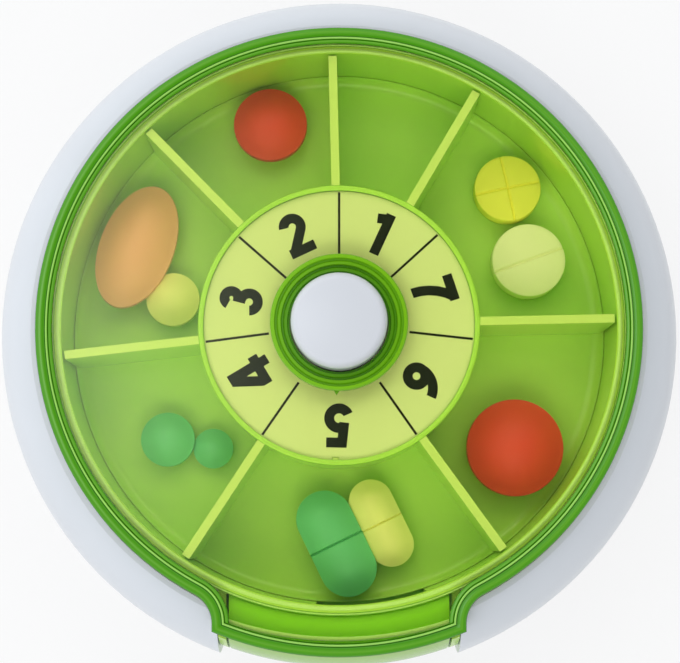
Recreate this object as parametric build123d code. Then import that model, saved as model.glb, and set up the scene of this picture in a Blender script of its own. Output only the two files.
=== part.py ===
from build123d import *
import math
import os

# A round box for a week of tablets. It stands on z = 0 with its outlet towards -Y.
# Pressing the button in the middle turns the tray on by one compartment.
# All lengths are in millimetres and all angles in degrees.

# Heights, from the table upwards
foot_height = 1.0
cover_thickness = 1.6
screw_room = 2.8
deck_thickness = 2.0
tray_lift = 1.0
floor_thickness = 1.2
compartment_depth = 13.8
lid_gap = 0.5
lid_thickness = 1.5
lid_skirt_depth = 2.6
seat_depth = 1.7

# White base
base_overhang = 5.7
base_widest_z = 14.0
base_rim_width = 0.8
base_undercut = 2.8
base_edge = 0.8
base_skin = 2.0
base_ledge = 1.6
inner_wall = 1.6
rib_thickness = 1.2
rib_count = 8
rib_depth = 1.6
cover_fit = 0.2
merge = 0.4

# Foot and the screws of the bottom cover
foot_inset = 3.4
foot_width = 3.6
foot_seat = 0.6
foot_round = 0.4
foot_fit = 0.05
cover_screw_count = 4
cover_screw_inset = 6.2
cover_screw_radius = 1.1
cover_screw_head = 2.4
cover_screw_head_height = 0.8
cover_screw_reach = 4.0
cover_screw_boss = 2.6
cover_screw_fit = 0.05

# Clear green lid
lid_land = 2.25
lid_fit = 0.3
lid_skirt = 1.8
lid_tab_skirt = 1.4
lid_edge = 0.7
lid_groove_width = 0.5
lid_groove_depth = 0.3
tab_overlap = 0.45
tab_setback = 3.2
tab_flare = 4.5

# Green liner ring with the doorway and the spout
liner_wall = 1.0
liner_fit = 0.15
doorway_angle = -83.25
doorway_width = 15.8
lintel_height = 1.5
spout_wall = 1.15
spout_floor = 1.2
spout_drop = 0.2

# Outlet door
door_half_width = 15.6
door_gap = 0.35
door_thickness = 1.6
door_setback = 1.1
door_overhang = 1.0
door_lip = 0.6
door_draft = 0.3
door_bulge_drop = 1.0
hinge_depth = 3.9
hinge_barrel = 1.3
hinge_room = 0.95
hinge_floor = 1.1
door_pin_radius = 0.6
door_pin_bite = 1.15
pin_running_fit = 0.05

# Tray and its dividers, counted anticlockwise seen from above
tray_gap = 0.35
compartment_length = 19.25
divider_thickness = 1.2
divider_angles = [-123.2, -54.1, 1.2, 59.6, 91.4, 134.4, 186.5]
day_count = 7
hub_radius = 20.2
hub_wall = 1.9
hub_web = 1.0
hub_rim_width = 0.7
label_thickness = 0.5
label_sink = 0.5
label_fit = 0.1
label_tuck = 0.9
label_key = 0.8
mark_angle = -91.5

# Bearing of the tray on the deck
bearing_inset = 1.35
bearing_wall = 1.95
bearing_height = 4.0
bearing_chamfer = 0.4
bearing_fit = 0.05
bush_fit = 0.05
bush_skirt = 0.55
clip_height = 0.8
clip_groove = 0.7
clip_grip = 0.9
clip_play = 0.1
clip_gap_angle = 24.0
clip_gap_place = 180.0

# Ratchet between the drive and the tray
tooth_count = 21
ratchet_wall = 1.1
tooth_depth = 1.6
ratchet_lift = 4.0
ratchet_height = 3.0
pawl_count = 3
pawl_clear = 0.15
pawl_thickness = 0.9
pawl_sweep = 62.0
pawl_bow = 1.6
pawl_inset = 0.2
pawl_hub_wall = 1.65

# Drive sleeve and thrust washer
washer_thickness = 0.6
sleeve_wall = 1.45
sleeve_height = 10.9
sleeve_flange = 1.5
sleeve_flange_height = 0.9
sleeve_collar = 0.7
sleeve_collar_height = 0.8
slot_clear = 0.1
key_width = 1.6
key_height = 0.6
key_fit = 0.05
hook_count = 3
hook_angle = 24.0
hook_wall = 1.3
hook_edge = 0.4
hook_grip = 0.8
hook_play = 0.15

# Button, plunger and pins
button_radius = 6.85
button_fit = 0.2
button_stand = 3.8
button_travel = 4.0
button_round = 1.2
button_crown = 0.3
cap_skirt_z = 0.3
cap_wall = 1.05
cap_roof = 1.6
plunger_inset = 0.55
plunger_wall = 0.9
plunger_roof = 1.2
plunger_fit = 0.15
neck_wall = 1.0
pin_radius = 0.9
pin_depth = 2.4
pin_angle = 30.0
pin_edge = 0.6

# Centre post, its screw and the return spring
post_radius = 3.5
post_flange_inset = 0.3
post_flange_height = 0.8
post_height = 10.0
post_foot = 2.6
key_square = 3.4
key_square_fit = 0.1
post_screw_radius = 1.1
post_screw_head = 2.5
post_screw_head_height = 1.4
post_screw_bite = 2.2
wire_radius = 0.3
spring_turns = 9

# Detent spring under the tray
detent_inset = 8.45
detent_angle = 90.0
detent_length = 20.0
detent_width = 5.0
detent_strip = 0.35
detent_clear = 0.15
detent_nose = 1.2
detent_notch_depth = 0.5
detent_notch_width = 3.0
detent_notch_room = 0.5
detent_screw_radius = 0.8
detent_screw_head = 1.5
detent_screw_head_height = 0.45
detent_screw_bite = 1.6

# Stepped bezel round the button
bezel_width = 2.95
bezel_rise = 1.0
bezel_overlap = 1.3
bezel_drop = 0.5
bezel_steps = 3
bezel_groove = 0.45
bezel_groove_slope = 0.15
bezel_bevel = 0.2
bezel_fit = 0.05
bezel_pointer = 0.6
pointer_angle = -92.0

# Levels worked out from the heights
cover_z = foot_height
cover_top_z = cover_z + cover_thickness
deck_z = cover_top_z + screw_room
deck_top_z = deck_z + deck_thickness
floor_z = deck_top_z + tray_lift
floor_top_z = floor_z + floor_thickness
wall_top_z = floor_top_z + compartment_depth
lid_z = wall_top_z + lid_gap
lid_top_z = lid_z + lid_thickness
seat_z = lid_z - lid_skirt_depth
base_rim_z = seat_z + seat_depth
spout_z = floor_top_z - spout_drop
hinge_z = spout_z - hinge_barrel
washer_top_z = deck_top_z + washer_thickness
sleeve_top_z = washer_top_z + sleeve_height
ratchet_z = floor_z + ratchet_lift
ratchet_top_z = ratchet_z + ratchet_height
pawl_z = ratchet_z + pawl_inset
pawl_top_z = ratchet_top_z - pawl_inset
web_top_z = wall_top_z - label_sink - label_thickness
web_z = web_top_z - hub_web
button_top_z = lid_top_z + button_stand
cap_z = lid_z + cap_skirt_z
clip_z = floor_top_z + clip_play
post_z = deck_top_z
post_top_z = post_z + post_height
spring_z = post_z + post_flange_height

# Radii and widths worked out from the middle outwards
plunger_radius = button_radius - plunger_inset
plunger_bore = plunger_radius - plunger_wall
neck_radius = button_radius - cap_wall
bezel_radius = button_radius + bezel_width
bezel_neck = bezel_radius - bezel_overlap
label_hole = bezel_radius - label_tuck
post_flange = plunger_radius - post_flange_inset
spring_radius = (post_radius + plunger_bore) / 2
sleeve_bore = plunger_radius + plunger_fit
sleeve_radius = sleeve_bore + sleeve_wall
flange_radius = sleeve_radius + sleeve_flange
washer_radius = flange_radius
washer_bore = post_flange + plunger_fit
pin_reach = sleeve_radius - slot_clear
hub_bore = hub_radius - hub_wall
bush_radius = hub_bore + bush_skirt
bearing_radius = hub_bore - bearing_inset
bearing_bore = bearing_radius - bearing_wall
tooth_root_radius = hub_bore - ratchet_wall
tooth_tip_radius = tooth_root_radius - tooth_depth
tray_radius = hub_radius + compartment_length
detent_circle = tray_radius - detent_inset
liner_bore = tray_radius + tray_gap
liner_radius = liner_bore + liner_wall
well_radius = liner_radius + liner_fit
wall_radius = well_radius + inner_wall
lid_radius = well_radius + lid_land
seat_radius = lid_radius + lid_fit
base_rim_radius = seat_radius + base_rim_width
base_radius = base_rim_radius + base_overhang
cover_radius = base_radius - base_undercut - base_skin
foot_radius = cover_radius - foot_inset
cover_screw_circle = foot_radius - foot_width - cover_screw_inset

# The outlet, from its door outwards
spout_half_width = door_half_width + door_gap + spout_wall
notch_half_width = spout_half_width + liner_fit
tab_half_width = notch_half_width + tab_overlap
tab_radius = base_radius - tab_setback
door_low_radius = base_radius - door_setback
door_low_z = deck_top_z - door_overhang
door_pin_half_length = notch_half_width + door_pin_bite
hinge_y = hinge_depth - door_low_radius
hinge_swing = math.hypot(hinge_depth, hinge_z - door_low_z) + hinge_room
hinge_swing_floor = cover_top_z + hinge_floor

# Levels and angles of the drive
pin_z = sleeve_top_z - pin_depth
pin_foot_z = pin_z - pin_radius - pin_edge
plunger_roof_z = cap_z - plunger_roof - button_travel / 4
spring_top_z = plunger_roof_z
index_angle = 360 / day_count
key_angle = pin_angle + index_angle / 2 + 180 / pawl_count

BOTTOM = (Align.CENTER, Align.CENTER, Align.MIN)
OUTWARD = (Align.MIN, Align.CENTER, Align.MIN)


# Small helpers
def disc(radius, low, high):
    return Pos(0, 0, low) * Cylinder(radius, high - low, align=BOTTOM)


def tube(outer, inner, low, high):
    return disc(outer, low, high) - disc(inner, low, high)


def turned(*points):
    """A closed outline of radius and height points, turned about the box's axis."""
    return revolve(Plane.XZ * make_face(Polyline(*points, close=True)), Axis.Z)


def spoke(start, end, width, low, high, angle):
    """A straight radial bar."""
    bar = Box(end - start, width, high - low, align=OUTWARD)
    return Rot(Z=angle) * Pos(start, 0, low) * bar


def around(count, piece, first=0.0):
    """Equal copies of a piece about the box's axis."""
    return [Rot(Z=first + 360 * i / count) * piece for i in range(count)]


def across(radius, half_length, y, z):
    """A round bar that lies along X."""
    return Pos(0, y, z) * Rot(Y=90) * Cylinder(radius, 2 * half_length)


def keyhole(grow, tab_wall, front_radius):
    """The lid's outline seen from above, made larger by grow, with the tab's sides moved by tab_wall."""
    radius = lid_radius + grow
    half_width = tab_half_width + tab_wall
    tab = Pos(0, -front_radius) * Rectangle(
        2 * half_width, 2 * front_radius - 2 * hub_radius
    )
    outline = Circle(radius) + (tab & Circle(front_radius))
    corner_y = -math.sqrt(radius**2 - half_width**2)
    corners = [
        v
        for v in outline.vertices()
        if abs(abs(v.X) - half_width) < 0.01 and abs(v.Y - corner_y) < 0.01
    ]
    return fillet(corners, tab_flare - tab_wall)


# Outer form of the base
dome_inset = base_radius - base_rim_radius
dome_rise = base_rim_z - base_widest_z
dome_radius = (dome_inset**2 + dome_rise**2) / (2 * dome_inset)


def dome_at(z, depth=0.0):
    """The dome's radius at a height, measured depth below its skin."""
    return base_radius - dome_radius + math.sqrt((dome_radius - depth) ** 2 - (z - base_widest_z) ** 2)


def base_outside(depth=0.0):
    """The solid inside the base's outer surface, moved inwards by depth."""
    widest = (base_radius - depth, base_widest_z)
    rim = (dome_at(base_rim_z, depth), base_rim_z)
    edge = (base_radius - base_undercut - depth, cover_z + base_edge)
    foot = (base_radius - base_undercut - base_edge - depth, cover_z)
    outline = Curve() + [
        Line((0, cover_z), foot),
        Line(foot, edge),
        TangentArc(widest, edge, tangent=(0, -1)),
        TangentArc(widest, rim, tangent=(0, 1)),
        Line(rim, (0, base_rim_z)),
        Line((0, base_rim_z), (0, cover_z)),
    ]
    return revolve(Plane.XZ * make_face(outline), Axis.Z)


def base_hollow():
    """The space between the skin and the inner wall, open at the bottom."""
    ledge_z = seat_z - base_ledge
    widest = (base_radius - base_skin, base_widest_z)
    low = (cover_radius + cover_fit, cover_top_z)
    high = (dome_at(ledge_z, base_skin), ledge_z)
    outline = Curve() + [
        Line((wall_radius, cover_top_z), low),
        TangentArc(widest, low, tangent=(0, -1)),
        TangentArc(widest, high, tangent=(0, 1)),
        Line(high, (wall_radius, ledge_z)),
        Line((wall_radius, ledge_z), (wall_radius, cover_top_z)),
    ]
    return revolve(Plane.XZ * make_face(outline), Axis.Z)


def front_block(half_width, back_y, low, high):
    """A block across the front of the box, from back_y outwards."""
    depth = base_radius + back_y + base_edge
    block = Box(2 * half_width, depth, high - low, align=(Align.CENTER, Align.MAX, Align.MIN))
    return Pos(0, back_y, low) * block


def screw(radius, head_radius, head_height, length):
    """A pan head screw, head up, with its seat at z = 0."""
    head = Cylinder(head_radius, head_height, align=BOTTOM)
    head = fillet(head.edges().group_by(Axis.Z)[-1], 0.4 * head_height)
    shank = Cylinder(radius, length, align=(Align.CENTER, Align.CENTER, Align.MAX))
    cross = Pos(0, 0, 0.5 * head_height) * Box(head_radius, 0.3 * head_radius, head_height, align=BOTTOM)
    return head + shank - cross - Rot(Z=90) * cross


def hinge_relief():
    """The room in which the door's lower edge swings."""
    room = across(hinge_swing, notch_half_width, hinge_y, hinge_z)
    lip_y = hinge_y + hinge_barrel + 2 * door_gap
    depth = 2 * hinge_swing
    keep = Box(
        2 * notch_half_width, depth, depth, align=(Align.CENTER, Align.MAX, Align.MIN)
    )
    return room & Pos(0, lip_y, hinge_swing_floor) * keep


# Pieces that stay still
def make_base_shell():
    shell = base_outside()
    cheek = front_block(notch_half_width + inner_wall, -hub_radius, cover_top_z, base_rim_z)
    shell -= base_hollow() - cheek
    shell -= disc(cover_radius + cover_fit, cover_z, cover_top_z)
    shell -= disc(well_radius, cover_top_z, deck_z)
    shell -= disc(well_radius, deck_top_z, base_rim_z)
    seat = keyhole(lid_fit, lid_fit, base_radius + base_edge)
    shell -= Pos(0, 0, seat_z) * extrude(seat, amount=seat_depth)
    shell -= front_block(notch_half_width, -hub_radius, spout_z - spout_floor, base_rim_z)
    shell -= hinge_relief()
    bore_length = door_pin_half_length + pin_running_fit
    shell -= across(door_pin_radius, bore_length, hinge_y, hinge_z)
    rib_start = post_screw_head + inner_wall
    rib = spoke(rib_start, well_radius + merge, rib_thickness, deck_z - rib_depth, deck_z, 0)
    shell += around(rib_count, rib, 180 / rib_count)
    boss = Pos(cover_screw_circle, 0, 0) * disc(cover_screw_boss, cover_top_z, deck_z)
    shell += around(cover_screw_count, boss, 180 / cover_screw_count)
    bore = Pos(cover_screw_circle, 0, 0) * disc(
        cover_screw_radius, cover_top_z, cover_top_z + cover_screw_reach
    )
    shell -= around(cover_screw_count, bore, 180 / cover_screw_count)
    shell += make_bearing_ring()
    shell += around(hook_count, make_hook(), 180 / hook_count)
    shell -= disc(post_screw_radius + key_fit, deck_z, deck_top_z)
    shell -= Pos(*detent_screw_place()) * disc(
        detent_screw_radius, deck_top_z - detent_screw_bite, deck_top_z
    )
    return shell


def make_bearing_ring():
    """The raised ring that the tray turns on, with a groove for its clip."""
    ring = tube(bearing_radius, bearing_bore, deck_top_z, deck_top_z + bearing_height)
    outer_edge = ring.edges().group_by(Axis.Z)[-1].sort_by(SortBy.RADIUS)[-1]
    ring = chamfer(outer_edge, bearing_chamfer)
    groove = tube(bearing_radius + merge, bearing_radius - clip_groove, clip_z, clip_z + clip_height)
    return ring - groove


def make_hook():
    """A snap hook that keeps the drive sleeve down."""
    near = flange_radius + hook_play
    low = washer_top_z + sleeve_flange_height + hook_play
    top = low + hook_wall
    hook = turned(
        (near, deck_top_z),
        (near + hook_wall, deck_top_z),
        (near + hook_wall, low),
        (near, top),
        (near - hook_grip, low + hook_edge),
        (near - hook_grip, low),
        (near, low),
    )
    half = math.tan(math.radians(hook_angle / 2)) * washer_radius * 2
    wedge = Polyline((0, 0), (2 * washer_radius, -half), (2 * washer_radius, half), close=True)
    return hook & Pos(0, 0, deck_top_z) * extrude(make_face(wedge), amount=bearing_height)


def make_bottom_cover():
    cover = disc(cover_radius, cover_z, cover_top_z)
    cover = fillet(cover.edges().group_by(Axis.Z)[0], base_edge / 2)
    cover -= tube(
        foot_radius + foot_fit,
        foot_radius - foot_width - foot_fit,
        cover_z,
        cover_z + foot_seat,
    )
    hole = Pos(cover_screw_circle, 0, 0) * (
        disc(cover_screw_head + cover_fit, cover_z, cover_z + cover_screw_head_height)
        + disc(cover_screw_radius + cover_screw_fit, cover_z, cover_top_z)
    )
    return cover - around(cover_screw_count, hole, 180 / cover_screw_count)


def make_cover_screws():
    one = screw(
        cover_screw_radius,
        cover_screw_head,
        cover_screw_head_height,
        cover_thickness - cover_screw_head_height + cover_screw_reach - key_fit,
    )
    one = Pos(cover_screw_circle, 0, cover_z + cover_screw_head_height) * Rot(X=180) * one
    return Compound(children=around(cover_screw_count, one, 180 / cover_screw_count))


def make_foot_ring():
    ring = tube(foot_radius, foot_radius - foot_width, 0, foot_height + foot_seat)
    return fillet(ring.edges().group_by(Axis.Z)[0], foot_round)


def make_liner_ring():
    ring = tube(liner_radius, liner_bore, deck_top_z, wall_top_z)
    floor = front_block(spout_half_width, -liner_radius + liner_wall / 2, spout_z - spout_floor, spout_z)
    lip_y = hinge_y + hinge_barrel + door_gap
    floor -= front_block(base_radius, lip_y, 0, wall_top_z)
    floor += make_spout_walls()
    floor -= disc(liner_bore, deck_top_z, wall_top_z)
    ring += floor
    ring -= make_doorway()
    return ring - across(door_pin_radius + pin_running_fit, door_pin_half_length, hinge_y, hinge_z)


def make_spout_walls():
    """The two sides of the spout, flush with the outer form of the door."""
    walls = front_block(spout_half_width, -hub_radius, spout_z - spout_floor, seat_z)
    walls -= front_block(spout_half_width - spout_wall, -hub_radius, 0, base_rim_z)
    walls &= door_outside()
    return walls - disc(liner_radius - liner_wall / 2, 0, base_rim_z)


def make_doorway():
    """The opening through which tablets leave the tray."""
    top = wall_top_z - lintel_height
    return spoke(hub_radius, base_radius, doorway_width, spout_z, top, doorway_angle)


def make_centre_post():
    post = disc(post_flange, post_z, spring_z) + disc(post_radius, post_z, post_top_z)
    side = key_square + 2 * key_square_fit
    socket = Pos(0, 0, post_z + post_foot) * Box(side, side, post_height, align=BOTTOM)
    return post - socket - disc(post_screw_radius, post_z, post_z + post_foot)


def make_post_screw():
    one = screw(
        post_screw_radius,
        post_screw_head,
        post_screw_head_height,
        deck_thickness + post_screw_bite,
    )
    return Pos(0, 0, deck_z) * Rot(X=180) * one


def make_thrust_washer():
    return tube(washer_radius, washer_bore, deck_top_z, washer_top_z)


def make_carousel_clip():
    """A split ring in the groove of the bearing ring."""
    inner = bearing_radius - clip_groove + key_fit
    ring = tube(bearing_radius + clip_grip, inner, clip_z, clip_z + clip_height)
    gap = 2 * bearing_radius * math.sin(math.radians(clip_gap_angle / 2))
    return ring - spoke(0, 2 * bearing_radius, gap, clip_z, clip_z + clip_height, clip_gap_place)


def detent_screw_place():
    return (-detent_length / 2 + detent_width / 2, detent_circle, 0)


def make_detent_spring():
    """A leaf spring under the tray, drawn pressed flat, with its nose just clear of the floor."""
    strip = Pos(0, detent_circle, deck_top_z) * Box(
        detent_length, detent_width, detent_strip, align=BOTTOM
    )
    nose_x = detent_length / 2 - detent_nose
    nose_z = floor_z - detent_clear - detent_nose
    nose = Pos(nose_x, detent_circle, nose_z) * Rot(X=90) * Cylinder(detent_nose, detent_width)
    nose &= Pos(nose_x, detent_circle, deck_top_z) * Box(
        2 * detent_nose, detent_width, tray_lift, align=BOTTOM
    )
    hole = Pos(*detent_screw_place()) * disc(detent_screw_radius + key_fit, deck_top_z, floor_z)
    return strip + nose - hole


def make_detent_screw():
    x, y, z = detent_screw_place()
    one = screw(
        detent_screw_radius,
        detent_screw_head,
        detent_screw_head_height,
        detent_strip + detent_screw_bite,
    )
    return Pos(x, y, deck_top_z + detent_strip) * one


def make_door_pin():
    return across(door_pin_radius, door_pin_half_length, hinge_y, hinge_z)


# The lid and its bezel
def make_lid():
    plate = extrude(keyhole(0, 0, tab_radius), amount=lid_thickness)
    plate = fillet(plate.edges().group_by(Axis.Z)[-1], lid_edge)
    lid = Pos(0, 0, lid_z) * plate
    skirt = keyhole(0, 0, tab_radius) - keyhole(-lid_skirt, -lid_tab_skirt, base_radius)
    lid += Pos(0, 0, seat_z) * extrude(skirt, amount=lid_skirt_depth)
    groove_radius = lid_radius - lid_skirt
    groove_z = lid_top_z - lid_groove_depth
    lid -= tube(groove_radius, groove_radius - lid_groove_width, groove_z, lid_top_z)
    return lid - disc(bezel_neck, lid_z, lid_top_z)


def make_button_bezel():
    """A ring of steps that fall towards the button, with a pointer at the front."""
    bore = button_radius + button_fit
    neck = bezel_neck - bezel_fit
    step = (bezel_radius - bore) / bezel_steps
    points = [(bore, lid_z - bezel_drop), (neck, lid_z - bezel_drop), (neck, lid_top_z)]
    points += [(bezel_radius, lid_top_z)]
    for i in range(bezel_steps):
        outer = bezel_radius - i * step
        top = lid_top_z + bezel_rise * (bezel_steps - i) / bezel_steps
        inner = outer - step + bezel_bevel
        points += [(outer, top - bezel_bevel), (outer - bezel_bevel, top)]
        points += [(inner + bezel_groove_slope, top), (inner, top - bezel_groove)]
        points += [(outer - step, top - bezel_groove)]
    ring = turned(*points)
    tip = bezel_radius + bezel_pointer
    root = bezel_radius - merge
    pointer = Polyline((root, -bezel_pointer), (tip, 0), (root, bezel_pointer), close=True)
    pointer = Pos(0, 0, lid_top_z) * extrude(make_face(pointer), amount=bezel_rise / 2)
    return ring + Rot(Z=pointer_angle) * pointer


# The tray that turns
def make_carousel_tray():
    floor = disc(tray_radius, floor_z, floor_top_z)
    tray = floor + disc(hub_radius, floor_z, wall_top_z)
    for angle in divider_angles:
        tray += spoke(
            hub_radius - hub_wall / 2, tray_radius, divider_thickness, floor_z, wall_top_z, angle
        )
    tray &= disc(tray_radius, floor_z, wall_top_z)
    tray -= turned(
        (0, floor_z),
        (bush_radius, floor_z),
        (bush_radius, ratchet_top_z),
        (hub_bore, ratchet_top_z),
        (hub_bore, web_z),
        (label_hole, web_z),
        (label_hole, web_top_z),
        (hub_radius - hub_rim_width, web_top_z),
        (hub_radius - hub_rim_width, wall_top_z),
        (0, wall_top_z),
    )
    key_radius = hub_radius - hub_rim_width - label_key / 2
    key_end = hub_radius - hub_rim_width / 2
    tray += spoke(key_radius, key_end, label_key, web_top_z, wall_top_z, mark_angle)
    reach = detent_width / 2 + detent_notch_room
    notch_top = floor_z + detent_notch_depth
    notch = spoke(
        detent_circle - reach, detent_circle + reach, detent_notch_width, floor_z, notch_top, 0
    )
    return tray - around(day_count, notch, detent_angle)


def make_ratchet_ring():
    """A bush pressed into the hub: its lip runs on the bearing ring, its teeth face inwards."""
    lip_radius = bearing_radius + bearing_fit
    outer = bush_radius - bush_fit
    ring = turned(
        (lip_radius, floor_z),
        (outer, floor_z),
        (outer, ratchet_top_z),
        (tooth_tip_radius - merge, ratchet_top_z),
        (tooth_tip_radius - merge, ratchet_z),
        (hub_bore, ratchet_z),
        (hub_bore, floor_top_z),
        (lip_radius, floor_top_z),
    )
    pitch = 360 / tooth_count
    points = []
    for i in range(tooth_count):
        low = math.radians(i * pitch)
        high = math.radians((i + 1) * pitch)
        points.append((tooth_root_radius * math.cos(low), tooth_root_radius * math.sin(low)))
        points.append((tooth_tip_radius * math.cos(high), tooth_tip_radius * math.sin(high)))
    teeth = make_face(Polyline(*points, close=True))
    return ring - Pos(0, 0, ratchet_z) * extrude(teeth, amount=ratchet_height)


def make_number_label():
    outer = hub_radius - hub_rim_width - label_fit
    label = tube(outer, label_hole, web_top_z, web_top_z + label_thickness)
    key_radius = hub_radius - hub_rim_width - label_key / 2 - label_fit
    return label - spoke(
        key_radius, hub_radius, label_key + 2 * label_fit, web_top_z, wall_top_z, mark_angle
    )


# The drive
def slot_centre(step):
    """Where a pin stands in the sleeve, from 0 at rest to 1 with the button pressed."""
    return Rot(Z=step * index_angle) * Pos(0, 0, pin_z - step * button_travel)


def make_cam_slot():
    """One slanted slot, as wide as a pin and its clearance, seen square to its run."""
    rise = math.degrees(math.atan2(button_travel, math.radians(index_angle) * sleeve_radius))
    width = 2 * (pin_radius + slot_clear)
    depth = 2 * sleeve_wall
    cut_count = 24
    slot = None
    for i in range(cut_count + 1):
        round_end = Rot(Y=90) * Cylinder(
            width / 2, depth, align=(Align.CENTER, Align.CENTER, Align.CENTER)
        )
        bar = slot_centre(i / cut_count) * Pos(sleeve_bore + sleeve_wall / 2, 0, 0) * Rot(X=rise)
        slot = bar * round_end if slot is None else slot + bar * round_end
    return slot


def make_drive_sleeve():
    sleeve = tube(sleeve_radius, sleeve_bore, washer_top_z, sleeve_top_z)
    slot = make_cam_slot()
    for turned_slot in around(pawl_count, slot, pin_angle):
        sleeve -= turned_slot
    sleeve += tube(flange_radius, sleeve_bore, washer_top_z, washer_top_z + sleeve_flange_height)
    collar_radius = sleeve_radius + sleeve_collar
    sleeve += tube(collar_radius, sleeve_radius, pawl_z - sleeve_collar_height, pawl_z)
    key_end = sleeve_radius + key_height
    key = spoke(sleeve_radius - merge, key_end, key_width, pawl_z, pawl_top_z, 0)
    return sleeve + around(pawl_count, key, key_angle)


def make_pawl_wheel():
    """A hub with springy pawls, drawn bent inwards so that their tips clear the teeth."""
    hub_outer = sleeve_radius + pawl_hub_wall
    height = pawl_top_z - pawl_z
    wheel = tube(hub_outer, sleeve_radius + key_fit, pawl_z, pawl_top_z)
    tip = tooth_tip_radius - pawl_clear - pawl_thickness / 2
    start = hub_outer - pawl_thickness / 2
    middle = (start + tip) / 2 + pawl_bow
    half = math.radians(-pawl_sweep / 2)
    end = math.radians(-pawl_sweep)
    arc = ThreePointArc(
        (start, 0),
        (middle * math.cos(half), middle * math.sin(half)),
        (tip * math.cos(end), tip * math.sin(end)),
    )
    pawl = Pos(0, 0, pawl_z) * extrude(SlotArc(arc, pawl_thickness), amount=height)
    wheel += around(pawl_count, pawl, pin_angle)
    key = spoke(
        sleeve_bore,
        sleeve_radius + key_height + key_fit,
        key_width + 2 * key_fit,
        pawl_z,
        pawl_top_z,
        0,
    )
    return wheel - around(pawl_count, key, key_angle)


# The button
def make_button_cap():
    edge_z = button_top_z - button_crown
    outline = Curve() + [
        Line((0, cap_z), (button_radius, cap_z)),
        Line((button_radius, cap_z), (button_radius, edge_z - button_round)),
        TangentArc(
            (button_radius, edge_z - button_round),
            (button_radius - button_round, edge_z),
            tangent=(0, 1),
        ),
        TangentArc((0, button_top_z), (button_radius - button_round, edge_z), tangent=(1, 0)),
        Line((0, button_top_z), (0, cap_z)),
    ]
    cap = revolve(Plane.XZ * make_face(outline), Axis.Z)
    return cap - disc(neck_radius + key_fit, cap_z, button_top_z - cap_roof)


def make_button_plunger():
    plunger = tube(plunger_radius, plunger_bore, pin_foot_z, plunger_roof_z + plunger_roof)
    plunger += disc(plunger_radius, plunger_roof_z, plunger_roof_z + plunger_roof)
    neck_top = button_top_z - cap_roof
    plunger += tube(neck_radius, neck_radius - neck_wall, plunger_roof_z, neck_top)
    stem_low = post_z + post_foot + button_travel + plunger_roof / 2
    stem = Box(key_square, key_square, plunger_roof_z - stem_low + plunger_roof / 2, align=BOTTOM)
    plunger += Pos(0, 0, stem_low) * stem
    return plunger - around(pawl_count, make_pin(), pin_angle)


def make_pin():
    bar = Cylinder(pin_radius, pin_reach - plunger_bore, align=BOTTOM)
    return Pos(plunger_bore, 0, pin_z) * Rot(Y=90) * bar


def make_drive_pins():
    return Compound(children=around(pawl_count, make_pin(), pin_angle))


def helix_point(turn, low, pitch):
    angle = 2 * math.pi * turn
    return Vector(
        spring_radius * math.cos(angle), spring_radius * math.sin(angle), low + pitch * turn
    )


def helix_direction(turn, pitch):
    angle = 2 * math.pi * turn
    run = 2 * math.pi * spring_radius
    return Vector(-run * math.sin(angle), run * math.cos(angle), pitch).normalized()


def arc_pair(start, start_way, end, end_way):
    """Two arcs that leave start along start_way, meet smoothly, and reach end along end_way."""
    gap = end - start
    ways = start_way + end_way
    spread = 2 * (1 - start_way.dot(end_way))
    along = gap.dot(ways)
    reach = (-along + math.sqrt(along**2 + spread * gap.dot(gap))) / spread
    middle = (start + end + (start_way - end_way) * reach) * 0.5
    first = TangentArc(start, middle, tangent=start_way)
    second = TangentArc(middle, end, tangent=first % 1)
    return [first, second]


def make_return_spring():
    """A round wire in even turns, from the post's flange to the plunger's roof."""
    low = spring_z + wire_radius
    pitch = (spring_top_z - spring_z - 2 * wire_radius) / spring_turns
    quarters = 4 * spring_turns
    arcs = []
    for i in range(quarters):
        start, end = i / 4, (i + 1) / 4
        arcs += arc_pair(
            helix_point(start, low, pitch),
            helix_direction(start, pitch),
            helix_point(end, low, pitch),
            helix_direction(end, pitch),
        )
    path = Wire([arc.edge() for arc in arcs])
    section = Plane(origin=path @ 0, z_dir=path % 0) * Circle(wire_radius)
    print("return spring: least gap between turns", round(pitch - 2 * wire_radius, 3))
    return sweep(section, path=path)


# The outlet door
def door_outline(top_z):
    """The door's outer surface from its lower edge to top_z, as lines of radius and height."""
    bulge = (door_low_radius, base_widest_z - door_bulge_drop)
    low = (door_low_radius - door_draft, door_low_z)
    return [Line(low, bulge), TangentArc(bulge, (tab_radius, top_z), tangent=(0, 1))]


def door_outside():
    """The solid inside the door's outer surface, carried on to the axis and down to the deck."""
    shoulder_z = wall_top_z - door_lip
    low_radius = door_low_radius - door_draft
    outline = Curve() + door_outline(shoulder_z) + [
        Line((tab_radius, shoulder_z), (0, shoulder_z)),
        Line((0, shoulder_z), (0, cover_top_z)),
        Line((0, cover_top_z), (low_radius, cover_top_z)),
        Line((low_radius, cover_top_z), (low_radius, door_low_z)),
    ]
    return revolve(Plane.XZ * make_face(outline), Axis.Z)


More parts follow.
